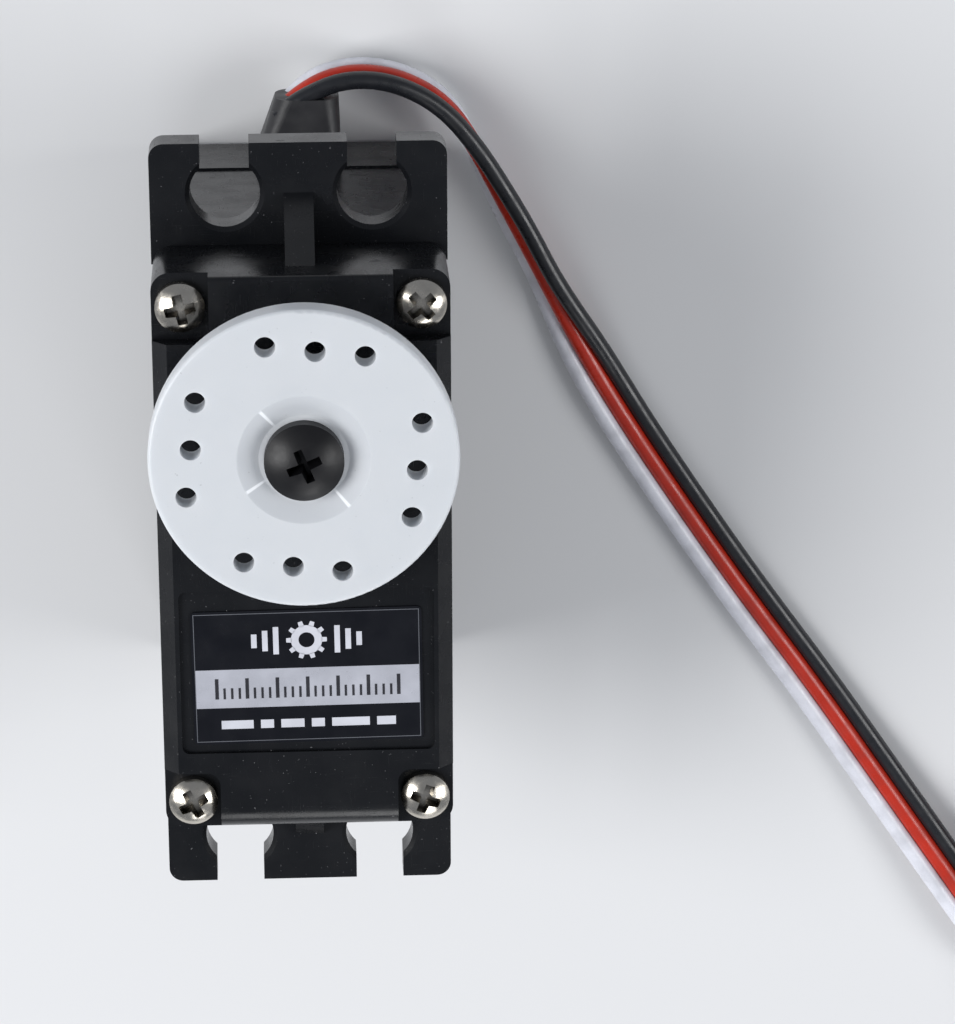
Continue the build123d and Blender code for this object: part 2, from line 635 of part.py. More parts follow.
# Armature: three-pole core, one winding bundle on each pole, commutator and shaft.
CORE_BOTTOM = 10.0
CORE_HEIGHT = 9.0
POLE_RADIUS = 5.6
with BuildPart() as armature_core:
    with BuildSketch(Plane((0, MOTOR_Y, CORE_BOTTOM))):
        Circle(1.9)
        with PolarLocations(2.9, 3, start_angle=90):
            Rectangle(3.4, 1.6)
        for pole in range(3):
            with BuildLine():
                start = 90 + 120 * pole - 48
                outer = CenterArc((0, 0), POLE_RADIUS, start, 96)
                inner = CenterArc((0, 0), POLE_RADIUS - 1.1, start, 96)
                Line(outer @ 0, inner @ 0)
                Line(outer @ 1, inner @ 1)
            make_face()
        Circle(MOTOR_SHAFT_RADIUS, mode=Mode.SUBTRACT)
    extrude(amount=CORE_HEIGHT)
save(armature_core, "armature_core")

with BuildPart() as armature_windings:
    with BuildSketch(Plane((0, MOTOR_Y, CORE_BOTTOM - 0.9))):
        with PolarLocations(3.2, 3, start_angle=90):
            RectangleRounded(2.2, 4.6, 0.6)
    extrude(amount=CORE_HEIGHT + 1.8)
    extrude(disc(1.9, MOTOR_Y, CORE_BOTTOM - 2), amount=CORE_HEIGHT + 4, mode=Mode.SUBTRACT)
    add(armature_core.part, mode=Mode.SUBTRACT)
save(armature_windings, "armature_windings")

with BuildPart() as commutator:
    with BuildSketch(Plane((0, MOTOR_Y, 6.4))):
        Circle(1.7)
        with PolarLocations(1.6, 3, start_angle=30):
            Rectangle(0.8, 0.25, mode=Mode.SUBTRACT)
        Circle(MOTOR_SHAFT_RADIUS, mode=Mode.SUBTRACT)
    extrude(amount=2.4)
save(commutator, "commutator")

with BuildPart() as motor_shaft:
    extrude(disc(MOTOR_SHAFT_RADIUS, MOTOR_Y, END_CAP_BOTTOM), amount=MOTOR_LEVEL + 1.7 - END_CAP_BOTTOM)
    chamfer(motor_shaft.edges(), length=0.12)
save(motor_shaft, "motor_shaft")

with BuildPart() as motor_pinion:
    pinion_bottom = MOTOR_LEVEL - 0.1
    extrude(
        gear_outline(MOTOR_Y, pinion_bottom, FINE_MODULE, PINION_TEETH, PROFILE_SHIFT, 90),
        amount=WHEEL_THICKNESS + 0.1,
    )
    extrude(disc(MOTOR_SHAFT_RADIUS, MOTOR_Y, pinion_bottom), amount=3, mode=Mode.SUBTRACT)
save(motor_pinion, "motor_pinion")

with BuildPart() as motor_brushes:
    for side in (-1, 1):
        with Locations((side * 1.9, MOTOR_Y, 7.4)):
            Box(0.3, 2.0, 1.0)
        with Locations((side * 3.45, MOTOR_Y, 7.4)):
            Box(2.8, 0.2, 0.7)
save(motor_brushes, "motor_brushes")

# Terminals: a strip on each side, from the brush holder through the cap into the board.
with BuildPart() as motor_terminals:
    for side in (-1, 1):
        with Locations((side * 5.0, MOTOR_Y, BOARD_BOTTOM - 0.3)):
            Box(0.3, 1.6, 7.9 - BOARD_BOTTOM, align=(Align.CENTER, Align.CENTER, Align.MIN))
save(motor_terminals, "motor_terminals")

with BuildPart() as motor_screws:
    for side in (-1, 1):
        with Locations((side * MOTOR_SCREW_X, MOTOR_SCREW_Y, DECK_TOP)):
            add(pan_screw(1.3, 0.6, 0.7, DECK_THICKNESS + MOTOR_CAN_WALL, (1.8, 0.4), 35))
save(motor_screws, "motor_screws")

# ---------------------------------------------------------------- potentiometer

with BuildPart() as pot_housing:
    extrude(disc(POT_RADIUS, OUTPUT_Y, POT_BOTTOM), amount=DECK_BOTTOM - POT_BOTTOM)
    extrude(
        disc(POT_RADIUS - POT_WALL, OUTPUT_Y, POT_BOTTOM),
        amount=DECK_BOTTOM - POT_WALL - POT_BOTTOM,
        mode=Mode.SUBTRACT,
    )
    extrude(disc(shaft_bore, OUTPUT_Y, POT_BOTTOM), amount=10, mode=Mode.SUBTRACT)
save(pot_housing, "pot_housing")

# Base board of the potentiometer with its resistive track and three terminals.
POT_BASE_THICKNESS = 0.8
TRACK_TOP = POT_BOTTOM + POT_BASE_THICKNESS + 0.2
with BuildPart() as pot_base:
    extrude(disc(POT_RADIUS - POT_WALL, OUTPUT_Y, POT_BOTTOM), amount=POT_BASE_THICKNESS)
save(pot_base, "pot_base")

with BuildPart() as pot_track:
    with BuildSketch(Plane((0, OUTPUT_Y, POT_BOTTOM + POT_BASE_THICKNESS))):
        with BuildLine():
            outer = CenterArc((0, 0), 4.9, -45, 270)
            inner = CenterArc((0, 0), 3.5, -45, 270)
            Line(outer @ 0, inner @ 0)
            Line(outer @ 1, inner @ 1)
        make_face()
    extrude(amount=0.2)
save(pot_track, "pot_track")

with BuildPart() as pot_shaft:
    extrude(disc(POT_SHAFT_RADIUS, OUTPUT_Y, TRACK_TOP), amount=POT_SOCKET_TOP - TRACK_TOP)
    chamfer(pot_shaft.edges(), length=0.15)
save(pot_shaft, "pot_shaft")

with BuildPart() as pot_wiper:
    extrude(disc(2.2, OUTPUT_Y, TRACK_TOP + 0.3, inner=POT_SHAFT_RADIUS), amount=0.8)
    with Locations((0, OUTPUT_Y + 3.2, TRACK_TOP + 0.3)):
        Box(1.0, 2.6, 0.4, align=(Align.CENTER, Align.CENTER, Align.MIN))
save(pot_wiper, "pot_wiper")

# ---------------------------------------------------------------- circuit board

LEAD_PAD_Y = 13.2
POT_PAD_Y = 0.6
CORE_SPACING = 1.3
CORE_PLACES = [-CORE_SPACING, 0.0, CORE_SPACING]
with BuildPart() as circuit_board:
    with BuildSketch(Plane.XY.offset(BOARD_BOTTOM)):
        RectangleRounded(*BOARD_SIZE, 0.4)
        with Locations((-5.0, MOTOR_Y), (5.0, MOTOR_Y)):
            Rectangle(0.5, 2.0, mode=Mode.SUBTRACT)
    extrude(amount=BOARD_THICKNESS)
save(circuit_board, "circuit_board")

with BuildPart() as control_chip:
    with Locations((-4.2, 7.2, BOARD_TOP + 0.1)):
        Box(4.0, 5.0, 1.4, align=(Align.CENTER, Align.CENTER, Align.MIN))
    with Locations((-4.2, 7.2, BOARD_TOP)):
        with GridLocations(5.2, 1.1, 2, 4):
            Box(1.2, 0.4, 0.5, align=(Align.CENTER, Align.CENTER, Align.MIN))
save(control_chip, "control_chip")

with BuildPart() as capacitor:
    with BuildSketch(Plane((5.6, 0.9, BOARD_TOP))):
        Circle(1.9)
    extrude(amount=5.4)
    fillet(capacitor.edges().group_by(Axis.Z)[-1], radius=0.3)
save(capacitor, "capacitor")

with BuildPart() as driver_transistors:
    with Locations((4.6, 7.6, BOARD_TOP)):
        with GridLocations(3.4, 3.6, 2, 2):
            Box(1.6, 2.8, 1.1, align=(Align.CENTER, Align.CENTER, Align.MIN))
save(driver_transistors, "driver_transistors")

with BuildPart() as resistors:
    with Locations((-5.4, 12.4, BOARD_TOP)):
        with GridLocations(2.2, 1.8, 3, 2):
            Box(1.6, 0.8, 0.5, align=(Align.CENTER, Align.CENTER, Align.MIN))
save(resistors, "resistors")


def wire(points, bends, radius):
    """A round wire of straight runs joined by tangent arcs."""
    with BuildPart() as piece:
        with BuildLine() as path:
            FilletPolyline(*points, radius=bends)
        with BuildSketch(Plane(path.wire() @ 0, z_dir=path.wire() % 0)):
            Circle(radius)
        sweep(path=path.wire())
    return piece.part


POT_TERMINAL_Y = 2.4
with BuildPart() as pot_terminals:
    for x in CORE_PLACES:
        with Locations((2 * x, POT_TERMINAL_Y, POT_BOTTOM)):
            Box(0.6, 2.4, 0.3, align=(Align.CENTER, Align.CENTER, Align.MAX))
save(pot_terminals, "pot_terminals")

with BuildPart() as pot_leads:
    for x in CORE_PLACES:
        top = POT_BOTTOM - 0.3
        add(
            wire(
                [
                    (2 * x, 1.8, top),
                    (2 * x, 1.8, top - 3),
                    (x, POT_PAD_Y, BOARD_TOP + 3),
                    (x, POT_PAD_Y, BOARD_TOP),
                ],
                [3.0, 3.0],
                0.35,
            )
        )
save(pot_leads, "pot_leads")

# ---------------------------------------------------------------- lead

# Strain relief: a rubber grommet with an inner flange, a neck in the notch and a tapered nose.
RELIEF_TIP_Y = 24.9
FLANGE_INNER_Y = HALF_LENGTH - 2 * WALL
RELIEF_TOP = BOTTOM_COVER_HEIGHT - 0.1
with BuildPart() as strain_relief:
    neck_end = HALF_LENGTH + BOTTOM_COVER_LIP
    with Locations((0, FLANGE_INNER_Y, NOTCH_BOTTOM - 0.8)):
        Box(8.0, WALL, RELIEF_TOP - NOTCH_BOTTOM + 0.8, align=(Align.CENTER, Align.MIN, Align.MIN))
    with Locations((0, FLANGE_INNER_Y, NOTCH_BOTTOM)):
        Box(
            NOTCH_WIDTH,
            neck_end - FLANGE_INNER_Y,
            RELIEF_TOP - NOTCH_BOTTOM,
            align=(Align.CENTER, Align.MIN, Align.MIN),
        )
    for y, left, right, low, high, corner in (
        (neck_end, -3.1, 3.3, NOTCH_BOTTOM - 0.6, RELIEF_TOP - 0.1, 0.7),
        (RELIEF_TIP_Y, -1.5, 3.15, NOTCH_BOTTOM - 0.1, RELIEF_TOP - 0.95, 1.3),
    ):
        with BuildSketch(Plane((0, y, 0), x_dir=(1, 0, 0), z_dir=(0, 1, 0))):
            with Locations(((left + right) / 2, -(low + high) / 2)):
                RectangleRounded(right - left, high - low, corner)
    loft()
save(strain_relief, "strain_relief")

# Cores: three short wires inside the case, from the grommet down to the board.
CORE_HEIGHT_INSIDE = 4.9
with BuildPart() as lead_cores:
    for x in CORE_PLACES:
        add(
            wire(
                [
                    (x, FLANGE_INNER_Y, CORE_HEIGHT_INSIDE),
                    (x, LEAD_PAD_Y, CORE_HEIGHT_INSIDE),
                    (x, LEAD_PAD_Y, BOARD_TOP),
                ],
                [1.2],
                0.5,
            )
        )
save(lead_cores, "lead_cores")


def coil_point(radius, angle, about=COIL_CENTRE):
    """A point on a circle about the coil's centre, with the angle in degrees."""
    return (about[0] + radius * cos(radians(angle)), about[1] + radius * sin(radians(angle)))


# The lead runs straight onto the coil's outer turn at the entry angle.
COIL_MIDDLE = COIL_LIFT + RIBBON_WIDTH / 2
entry = coil_point(COIL_RADIUS, COIL_ENTRY_ANGLE)
entry_direction = (-sin(radians(COIL_ENTRY_ANGLE)), cos(radians(COIL_ENTRY_ANGLE)))
tube_end = (
    entry[0] - COIL_INLET * entry_direction[0],
    entry[1] - COIL_INLET * entry_direction[1],
    COIL_MIDDLE,
)

# Route of the lead, from inside the strain relief to the coil: it leaves on edge, bends round to the
# right while it drops to the floor, then lies in a gentle wave. Points are (x, y, z).
LEAD_ROUTE = [
    (-1.3, 23.5, 4.65),
    (0.5, 25.3, 4.65),
    (3.7, 26.5, 4.3),
    (7.4, 26.0, 3.7),
    (10.9, 23.9, 3.0),
    (13.2, 20.4, 2.6),
    (15.2, 16.4, 2.3),
    (17.5, 11.9, 2.0),
    (20.4, 6.0, 1.5),
    (24.1, -0.8, 1.25),
    (28.7, -8.0, 1.25),
    (34.0, -15.9, 1.25),
    (39.7, -23.8, 1.25),
    (45.6, -32.5, 1.5),
    tube_end,
]


def corner_radii(points):
    """One radius for each corner: as large as the two runs beside it allow."""
    radii = []
    for before, corner, after in zip(points, points[1:], points[2:]):
        incoming = Vector(*corner) - Vector(*before)
        outgoing = Vector(*after) - Vector(*corner)
        turn = radians(incoming.get_angle(outgoing))
        radii.append(0.45 * min(incoming.length, outgoing.length) / tan(turn / 2))
    return radii


lead_radii = corner_radii(LEAD_ROUTE)
print("lead bend radii (mm):", [round(radius, 1) for radius in lead_radii])
with BuildPart() as servo_lead:
    with BuildLine() as lead_path:
        FilletPolyline(*LEAD_ROUTE, radius=lead_radii)
    lead_wire = lead_path.wire()
    with BuildSketch(Plane(lead_wire @ 0, z_dir=lead_wire % 0)):
        Circle(LEAD_RADIUS)
    sweep(path=lead_wire)
section_volume = pi * LEAD_RADIUS**2 * lead_wire.length
print("lead tube length (mm):", round(lead_wire.length, 1))
print("lead tube volume against section times length:", round(servo_lead.part.volume / section_volume, 4))
save(servo_lead, "servo_lead")

# Coil: the outer shape of the wound lead, with its straight inlet and the tail that curls inside it.
COIL_OUTER = COIL_RADIUS + COIL_PITCH / 2
COIL_INNER = COIL_RADIUS - COIL_PITCH * COIL_TURNS - COIL_PITCH / 2
TAIL_WIDTH = 2.0
tail_angle = COIL_ENTRY_ANGLE + 360 * COIL_TURNS
tail_start_radius = COIL_RADIUS - COIL_PITCH * COIL_TURNS
tail_centre = coil_point(tail_start_radius - TAIL_RADIUS, tail_angle)
with BuildPart() as lead_coil:
    with BuildSketch(Plane.XY.offset(COIL_LIFT)):
        with Locations(COIL_CENTRE):
            Circle(COIL_OUTER)
            Circle(COIL_INNER, mode=Mode.SUBTRACT)
        inlet_middle = ((entry[0] + tube_end[0]) / 2, (entry[1] + tube_end[1]) / 2)
        with Locations(Location((*inlet_middle, 0), (0, 0, COIL_ENTRY_ANGLE))):
            Rectangle(2 * LEAD_RADIUS + 0.2, COIL_INLET)
        with BuildLine():
            outer = CenterArc(tail_centre, TAIL_RADIUS + TAIL_WIDTH / 2, tail_angle - 10, TAIL_TURN + 10)
            inner = CenterArc(tail_centre, TAIL_RADIUS - TAIL_WIDTH / 2, tail_angle - 10, TAIL_TURN + 10)
            Line(outer @ 0, inner @ 0)
            Line(outer @ 1, inner @ 1)
        make_face()
    extrude(amount=RIBBON_WIDTH)
save(lead_coil, "lead_coil")

# Tie: a flat loop round both turns of the coil.
TIE_ANGLE = 100
TIE_SWEEP = 9
TIE_THICKNESS = 0.45
with BuildPart() as coil_tie:
    tie_plane = Plane(
        (*COIL_CENTRE, 0),
        x_dir=(cos(radians(TIE_ANGLE)), sin(radians(TIE_ANGLE)), 0),
        z_dir=(sin(radians(TIE_ANGLE)), -cos(radians(TIE_ANGLE)), 0),
    )
    with BuildSketch(tie_plane):
        with Locations(((COIL_INNER + COIL_OUTER) / 2, COIL_MIDDLE)):
            Rectangle(COIL_OUTER - COIL_INNER + 2 * TIE_THICKNESS, RIBBON_WIDTH + 2 * TIE_THICKNESS)
            Rectangle(COIL_OUTER - COIL_INNER, RIBBON_WIDTH, mode=Mode.SUBTRACT)
    revolve(axis=Axis((*COIL_CENTRE, 0), (0, 0, 1)), revolution_arc=TIE_SWEEP)
save(coil_tie, "coil_tie")

# Connector: a three-way 2.54 mm pitch housing on the end of the tail, with its socket contacts.
tail_end = coil_point(TAIL_RADIUS, tail_angle + TAIL_TURN, about=tail_centre)
connector_angle = tail_angle + TAIL_TURN + 90
connector_plane = Plane(
    (*tail_end, 0),
    x_dir=(cos(radians(connector_angle)), sin(radians(connector_angle)), 0),
    z_dir=(0, 0, 1),
)
width, length, height = CONNECTOR_SIZE
CONTACT_HOLE = 1.2
CONTACT_DEPTH = 8.0
with BuildPart() as connector_housing:
    with BuildSketch(connector_plane):
        with Locations((length / 2, 0)):
            Rectangle(length, width)
    extrude(amount=height)
    chamfer(connector_housing.edges().filter_by(Axis.Z), length=0.25)
    far_face = connector_plane.offset(height / 2)
    mouth = far_face.origin + far_face.x_dir * length
    with BuildSketch(Plane(mouth, x_dir=far_face.y_dir, z_dir=far_face.x_dir)):
        with GridLocations(CONTACT_PITCH, 1, 3, 1):
            Rectangle(CONTACT_HOLE, CONTACT_HOLE)
    extrude(amount=-CONTACT_DEPTH, mode=Mode.SUBTRACT)
save(connector_housing, "connector_housing")

with BuildPart() as connector_contacts:
    contact_start = far_face.origin + far_face.x_dir * (length - CONTACT_DEPTH)
    with BuildSketch(Plane(contact_start, x_dir=far_face.y_dir, z_dir=far_face.x_dir)):
        with GridLocations(CONTACT_PITCH, 1, 3, 1):
            Rectangle(CONTACT_HOLE, CONTACT_HOLE)
            Rectangle(0.8, 0.8, mode=Mode.SUBTRACT)
    extrude(amount=CONTACT_DEPTH - 1.2)
save(connector_contacts, "connector_contacts")
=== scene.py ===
"""Looks of the servo motor: camera, lights, materials, the flat lead and the label's print.

All lengths are in metres. The CAD frame has its origin at the centre of the case's underside, with +Z up
along the output shaft and +Y towards the end where the lead leaves.
"""

import json
import math

import bmesh
import bpy
import numpy as np
from mathutils import Matrix, Vector


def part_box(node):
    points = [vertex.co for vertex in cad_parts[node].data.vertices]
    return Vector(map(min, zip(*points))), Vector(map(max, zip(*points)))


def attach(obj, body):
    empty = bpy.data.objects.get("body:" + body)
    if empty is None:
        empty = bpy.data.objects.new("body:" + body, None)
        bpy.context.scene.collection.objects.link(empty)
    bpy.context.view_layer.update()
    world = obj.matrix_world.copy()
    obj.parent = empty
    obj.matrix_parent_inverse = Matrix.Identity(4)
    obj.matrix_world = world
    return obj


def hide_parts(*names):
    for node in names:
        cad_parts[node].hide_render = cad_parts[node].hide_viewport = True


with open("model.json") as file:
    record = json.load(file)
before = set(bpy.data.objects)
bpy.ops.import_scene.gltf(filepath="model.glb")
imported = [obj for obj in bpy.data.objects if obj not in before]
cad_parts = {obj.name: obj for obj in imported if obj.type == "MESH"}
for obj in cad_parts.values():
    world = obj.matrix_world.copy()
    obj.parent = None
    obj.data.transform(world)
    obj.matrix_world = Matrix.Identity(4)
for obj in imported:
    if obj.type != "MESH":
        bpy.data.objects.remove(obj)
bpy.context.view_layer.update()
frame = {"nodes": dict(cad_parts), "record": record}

MM = 0.001
nodes = frame["nodes"]


# ---------------------------------------------------------------- camera and stage

LOOK_AT = Vector((11.7, 3.3, 35.6)) * MM
CAMERA_DISTANCE = 278.7 * MM
CAMERA_TILT = math.radians(19.5)
CAMERA_TURN = math.radians(-2.8)
CAMERA_ROLL = math.radians(-0.17)
CAMERA_LENS = 144.6
FLOOR_SIZE = 4.0
LIGHT_TARGET = (0, 0, 0.02)

# Softboxes: name, position, side and power. None stands where the flat lid would mirror it to the camera.
SOFTBOXES = (
    ("key_light", (-0.48, 0.02, 0.46), 0.36, 4.4),
    ("fill_light", (0.5, -0.05, 0.4), 0.3, 1.9),
    ("end_light", (0.12, -0.6, 0.3), 0.3, 1.3),
)


def make_camera():
    """The camera looks down along -Z, leaning towards the lead's end, with +Y up in the picture."""
    back = Vector(
        (
            math.sin(CAMERA_TURN) * math.cos(CAMERA_TILT),
            math.sin(CAMERA_TILT),
            math.cos(CAMERA_TURN) * math.cos(CAMERA_TILT),
        )
    )
    right = Vector((0, 1, 0)).cross(back).normalized()
    right.rotate(Matrix.Rotation(CAMERA_ROLL, 3, back))
    up = back.cross(right)
    data = bpy.data.cameras.new("camera")
    data.lens = CAMERA_LENS
    data.sensor_width = 36.0
    data.clip_start = 0.01
    camera = bpy.data.objects.new("camera", data)
    bpy.context.scene.collection.objects.link(camera)
    camera.matrix_world = Matrix.Translation(LOOK_AT + back * CAMERA_DISTANCE) @ Matrix(
        (right, up, back)
    ).transposed().to_4x4()
    bpy.context.scene.camera = camera


def soft_light(name, position, size, power):
    """A square studio softbox that faces the object."""
    data = bpy.data.lights.new(name, "AREA")
    data.shape = "SQUARE"
    data.size = size
    data.energy = power
    light = bpy.data.objects.new(name, data)
    bpy.context.scene.collection.objects.link(light)
    light.location = position
    light.rotation_euler = (Vector(LIGHT_TARGET) - Vector(position)).to_track_quat("-Z", "Y").to_euler()


def make_stage():
    """A pale floor, three softboxes and a dim even surround."""
    mesh = bpy.data.meshes.new("floor")
    half = FLOOR_SIZE / 2
    corners = [(-half, -half, 0), (half, -half, 0), (half, half, 0), (-half, half, 0)]
    mesh.from_pydata(corners, [], [(0, 1, 2, 3)])
    floor = bpy.data.objects.new("floor", mesh)
    bpy.context.scene.collection.objects.link(floor)
    material = bpy.data.materials.new("floor_paper")
    material.use_nodes = True
    shader = material.node_tree.nodes["Principled BSDF"]
    shader.inputs["Base Color"].default_value = (0.64, 0.645, 0.655, 1)
    shader.inputs["Roughness"].default_value = 0.9
    mesh.materials.append(material)
    floor.location.z = -0.02 * MM
    for softbox in SOFTBOXES:
        soft_light(*softbox)
    world = bpy.data.worlds.new("studio")
    world.use_nodes = True
    world.node_tree.nodes["Background"].inputs["Color"].default_value = (0.8, 0.85, 0.95, 1)
    world.node_tree.nodes["Background"].inputs["Strength"].default_value = 0.3
    bpy.context.scene.world = world
    bpy.context.scene.view_settings.view_transform = "Standard"


# ---------------------------------------------------------------- lead

CORE_RADIUS = 0.66 * MM
CORE_SPACING = 1.29 * MM
FLOOR_GAP = 0.03 * MM
RING_SPACING = 0.7 * MM
STEPS_PER_HALF_CORE = 9

# Route of the lead in millimetres, from inside the strain relief to the coil's inlet.
LEAD_ROUTE = [
    (-1.3, 23.5, 4.65),
    (0.5, 25.3, 4.65),
    (3.7, 26.5, 4.3),
    (7.4, 26.0, 3.7),
    (10.9, 23.9, 3.0),
    (13.2, 20.4, 2.6),
    (15.2, 16.4, 2.3),
    (17.5, 11.9, 2.0),
    (20.4, 6.0, 1.5),
    (24.1, -0.8, 0.8),
    (28.7, -8.0, 0.8),
    (34.0, -15.9, 0.8),
    (39.7, -23.8, 0.8),
    (45.6, -32.5, 1.2),
]
COIL_CENTRE = (78.0, -39.8)
COIL_RADIUS = 22.5
COIL_PITCH = 2.0
COIL_TURNS = 1.27
COIL_MIDDLE = 2.45
COIL_ENTRY_ANGLE = 214.8
COIL_INLET = 11.0
COIL_POINTS_PER_TURN = 20
TAIL_RADIUS = 9.0
TAIL_TURN = 120.0
TAIL_POINTS = 7


def coil_point(radius, angle, about=COIL_CENTRE):
    """A point on a circle about the coil's centre, angle in degrees, in millimetres."""
    turn = math.radians(angle)
    return (about[0] + radius * math.cos(turn), about[1] + radius * math.sin(turn))


def lead_points():
    """Control points of the whole lead in metres: the route, the coil's turns and the tail."""
    points = list(LEAD_ROUTE)
    entry = coil_point(COIL_RADIUS, COIL_ENTRY_ANGLE)
    heading = math.radians(COIL_ENTRY_ANGLE + 90)
    for back in (COIL_INLET, COIL_INLET / 2):
        points.append((entry[0] - back * math.cos(heading), entry[1] - back * math.sin(heading), COIL_MIDDLE))
    steps = round(COIL_POINTS_PER_TURN * COIL_TURNS)
    for step in range(1, steps):
        turned = COIL_TURNS * step / steps
        radius = COIL_RADIUS - COIL_PITCH * turned
        points.append((*coil_point(radius, COIL_ENTRY_ANGLE + 360 * turned), COIL_MIDDLE))
    tail_angle = COIL_ENTRY_ANGLE + 360 * COIL_TURNS
    tail_start = COIL_RADIUS - COIL_PITCH * COIL_TURNS
    tail_centre = coil_point(tail_start - TAIL_RADIUS, tail_angle)
    for step in range(TAIL_POINTS + 1):
        angle = tail_angle + TAIL_TURN * step / TAIL_POINTS
        points.append((*coil_point(TAIL_RADIUS, angle, about=tail_centre), COIL_MIDDLE))
    return [Vector(point) * MM for point in points]


def nurbs_line(points, resolution=12):
    """Points along the smooth NURBS line that the control points give."""
    curve = bpy.data.curves.new("lead_route", "CURVE")
    curve.dimensions = "3D"
    spline = curve.splines.new("NURBS")
    spline.points.add(len(points) - 1)
    for place, point in zip(spline.points, points):
        place.co = (*point, 1)
    spline.order_u = 3
    spline.use_endpoint_u = True
    spline.resolution_u = resolution
    route = bpy.data.objects.new("lead_route", curve)
    bpy.context.scene.collection.objects.link(route)
    bpy.context.view_layer.update()
    mesh = bpy.data.meshes.new_from_object(route)
    line = np.array([vertex.co for vertex in mesh.vertices])
    bpy.data.objects.remove(route)
    bpy.data.meshes.remove(mesh)
    return line


def even_steps(line, step):
    """The same line with its points a constant step apart, and the distance of each along it."""
    lengths = np.linalg.norm(np.diff(line, axis=0), axis=1)
    along = np.concatenate([[0], np.cumsum(lengths)])
    places = np.linspace(0, along[-1], int(along[-1] / step) + 1)
    return np.column_stack([np.interp(places, along, line[:, axis]) for axis in range(3)]), places


def smooth_step(value, start, end):
    """0 before start, 1 after end, and a smooth rise between."""
    share = np.clip((value - start) / (end - start), 0, 1)
    return share * share * (3 - 2 * share)


def ribbon_outline():
    """The lead's cross-section: three round cores run together, with which core each point is on."""
    groove = math.acos(CORE_SPACING / 2 / CORE_RADIUS)
    steps = STEPS_PER_HALF_CORE
    outline = []
    spans = (
        (1, -math.pi + groove, math.pi - groove, 2 * steps),
        (0, groove, math.pi - groove, steps),
        (-1, groove, 2 * math.pi - groove, 2 * steps),
        (0, -math.pi + groove, -groove, steps),
    )
    for core, start, end, count in spans:
        for step in range(count):
            angle = start + (end - start) * step / count
            across = core * CORE_SPACING + CORE_RADIUS * math.cos(angle)
            outline.append((across, CORE_RADIUS * math.sin(angle), core, step == 0))
    return outline


def lead_twist(along, total):
    """Angle of the ribbon: 0 stands on edge with the black core on top, a quarter turn lies flat.

    It leans back a little at the bend, lies down in two stages, stands on edge again for the coil and
    lies flat once more at the connector.
    """
    flat = smooth_step(along, 13 * MM, 26 * MM) / 3
    flat -= 0.11 * (smooth_step(along, 1 * MM, 4 * MM) - smooth_step(along, 11 * MM, 19 * MM))
    flat += smooth_step(along, 28 * MM, 42 * MM) * 2 / 3
    flat -= smooth_step(along, 92 * MM, 108 * MM)
    flat += smooth_step(along, total - 17 * MM, total - 2 * MM)
    return flat * math.pi / 2


def make_lead(materials):
    """The flat three-core lead, from the strain relief through the coil to the connector."""
    line, along = even_steps(nurbs_line(lead_points()), RING_SPACING)
    twist = lead_twist(along, along[-1])
    half_height = CORE_SPACING * np.abs(np.cos(twist)) + CORE_RADIUS
    line[:, 2] = np.maximum(line[:, 2], half_height + FLOOR_GAP)
    tangents = np.gradient(line, axis=0)
    tangents /= np.linalg.norm(tangents, axis=1)[:, None]
    left = np.column_stack([-tangents[:, 1], tangents[:, 0], np.zeros(len(line))])
    left /= np.linalg.norm(left, axis=1)[:, None]
    upward = np.cross(tangents, left)
    across = np.cos(twist)[:, None] * upward + np.sin(twist)[:, None] * left
    through = np.cross(across, tangents)
    outline = ribbon_outline()
    count = len(outline)
    shape = bmesh.new()
    rings = []
    for place in range(len(line)):
        ring = [
            shape.verts.new(line[place] + across[place] * width + through[place] * depth)
            for width, depth, core, first in outline
        ]
        rings.append(ring)
    slots = {1: 0, 0: 1, -1: 2}
    for ring, following in zip(rings, rings[1:]):
        for index in range(count):
            after = (index + 1) % count
            face = shape.faces.new((ring[index], ring[after], following[after], following[index]))
            face.material_index = slots[outline[index][2]]
            face.smooth = True
    for ring, order in ((rings[0], -1), (rings[-1], 1)):
        shape.faces.new(ring[::order])
    bmesh.ops.recalc_face_normals(shape, faces=shape.faces)
    groove_columns = [index for index in range(count) if outline[index][3]]
    for ring, following in zip(rings, rings[1:]):
        for index in groove_columns:
            edge = shape.edges.get((ring[index], following[index]))
            edge.smooth = False
    mesh = bpy.data.meshes.new("lead_ribbon")
    shape.to_mesh(mesh)
    shape.free()
    for material in materials:
        mesh.materials.append(material)
    ribbon = bpy.data.objects.new("lead_ribbon", mesh)
    bpy.context.scene.collection.objects.link(ribbon)
    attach(ribbon, "case")
    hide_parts("servo_lead", "lead_coil")
    print("lead length (mm):", round(float(along[-1]) / MM, 1))


# ---------------------------------------------------------------- materials


